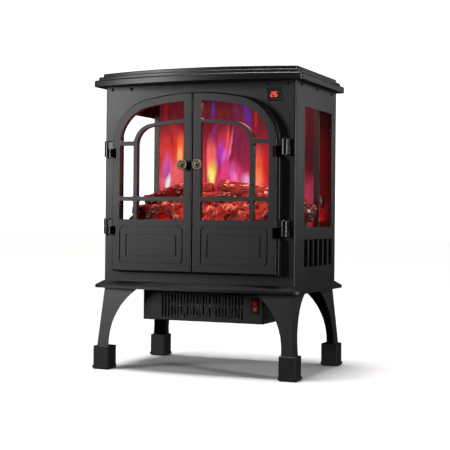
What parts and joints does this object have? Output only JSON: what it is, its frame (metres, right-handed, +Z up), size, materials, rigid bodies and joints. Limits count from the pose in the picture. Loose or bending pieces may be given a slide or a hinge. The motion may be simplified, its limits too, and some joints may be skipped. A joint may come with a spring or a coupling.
{
  "type": "electric fireplace",
  "caption": "Free-standing electric stove fireplace: steel casing on splayed legs, arched double doors with glazing bars over a front glass, log and flame display, and a fan heater with grille below.",
  "frame": {"origin": "on the floor, under the middle of the overall box", "axes": "+Z up, -Y towards the doors, +X to the right seen from the front"},
  "size_m": [0.449, 0.33, 0.6],
  "materials": {
    "black_powder_coat": "satin black powder coat on pressed steel",
    "cast_door_black": "satin black paint on cast door leaves",
    "hinge_black": "semi-gloss black on turned steel barrels",
    "bright_steel": "bright zinc-plated steel",
    "black_zinc": "black zinc-plated screws",
    "antique_brass": "aged brass, patinated",
    "foot_plastic": "moulded black nylon",
    "foot_rubber": "black rubber",
    "clear_glass": "clear tempered glass",
    "galvanised_sheet": "dark heat-proof paint on sheet",
    "flame_acrylic": "frosted acrylic lit from behind",
    "ember_resin": "translucent red resin painted with ash and char",
    "log_resin": "cast resin painted as charred bark",
    "spindle_foil": "polished aluminium foil vanes",
    "motor_can": "zinc-plated motor can",
    "circuit_board": "glass-fibre circuit board",
    "heater_black": "satin black powder coat on sheet steel",
    "mesh_steel": "perforated steel guard",
    "heater_fins": "aluminium fins between ceramic bars",
    "blower_plastic": "moulded heat-proof plastic",
    "switch_black": "gloss black moulded plastic",
    "switch_red": "translucent red rocker lit from inside",
    "display_black": "gloss black bezel",
    "display_lens": "smoked lens over a lit two-digit display"
  },
  "bodies": {
    "casing": {"back_left_foot": "foot_plastic", "back_left_leg": "black_powder_coat", "back_panel": "black_powder_coat", "back_right_foot": "foot_plastic", "back_right_leg": "black_powder_coat", "base_plate": "black_powder_coat", "bearing_stands": "blower_plastic", "blower_motor": "motor_can", "cable_gland": "foot_plastic", "control_board": "circuit_board", "display_bezel": "display_black", "display_screen": "display_lens", "door_magnets": "bright_steel", "door_surround": "cast_door_black", "ember_bed": "ember_resin", "firebox_ceiling": "galvanised_sheet", "firebox_floor": "galvanised_sheet", "flame_screen": "flame_acrylic", "foot_pads": "foot_rubber", "front_glass": "clear_glass", "front_left_foot": "foot_plastic", "front_left_leg": "black_powder_coat", "front_log": "log_resin", "front_panel": "black_powder_coat", "front_right_foot": "foot_plastic", "front_right_leg": "black_powder_coat", "glass_clips": "bright_steel", "heater_housing": "heater_black", "heating_element": "heater_fins", "led_board": "circuit_board", "left_casing_knuckles": "hinge_black", "left_hinge_pins": "bright_steel", "left_log": "log_resin", "left_side_glass": "clear_glass", "left_side_panel": "black_powder_coat", "middle_log": "log_resin", "outlet_mesh": "mesh_steel", "panel_screws": "black_zinc", "rear_left_log": "log_resin", "rear_right_log": "log_resin", "right_casing_knuckles": "hinge_black", "right_hinge_pins": "bright_steel", "right_log": "log_resin", "right_side_glass": "clear_glass", "right_side_panel": "black_powder_coat", "rocker_bezel": "switch_black", "screen_brackets": "galvanised_sheet", "spindle_motor": "motor_can", "top_plate": "black_powder_coat"},
    "left_door": {"left_door": "cast_door_black", "left_door_knuckles": "hinge_black", "left_knob": "antique_brass", "left_knob_stem": "hinge_black"},
    "right_door": {"right_door": "cast_door_black", "right_door_knuckles": "hinge_black", "right_knob": "antique_brass", "right_knob_stem": "hinge_black"},
    "rocker": {"rocker": "switch_red"},
    "flame_spindle": {"flame_spindle": "spindle_foil"},
    "blower_wheel": {"blower_wheel": "blower_plastic"}
  },
  "joints": [
    {"name": "right_door_hinge", "type": "hinge", "parent": "casing", "child": "right_door", "pos_m": [0.19, -0.126, 0.368], "axis": [0, 0, 1], "range_deg": [0, 110]},
    {"name": "left_door_hinge", "type": "hinge", "parent": "casing", "child": "left_door", "pos_m": [-0.19, -0.126, 0.368], "axis": [0, 0, -1], "range_deg": [0, 110]},
    {"name": "rocker_tilt", "type": "hinge", "parent": "casing", "child": "rocker", "pos_m": [0.1138, -0.075, 0.136], "axis": [1, 0, 0], "range_deg": [-14, 0]},
    {"name": "spindle_spin", "type": "hinge", "parent": "casing", "child": "flame_spindle", "pos_m": [0, 0.113, 0.345], "axis": [1, 0, 0], "continuous": true},
    {"name": "blower_spin", "type": "hinge", "parent": "casing", "child": "blower_wheel", "pos_m": [0, 0.03, 0.139], "axis": [1, 0, 0], "continuous": true}
  ]
}
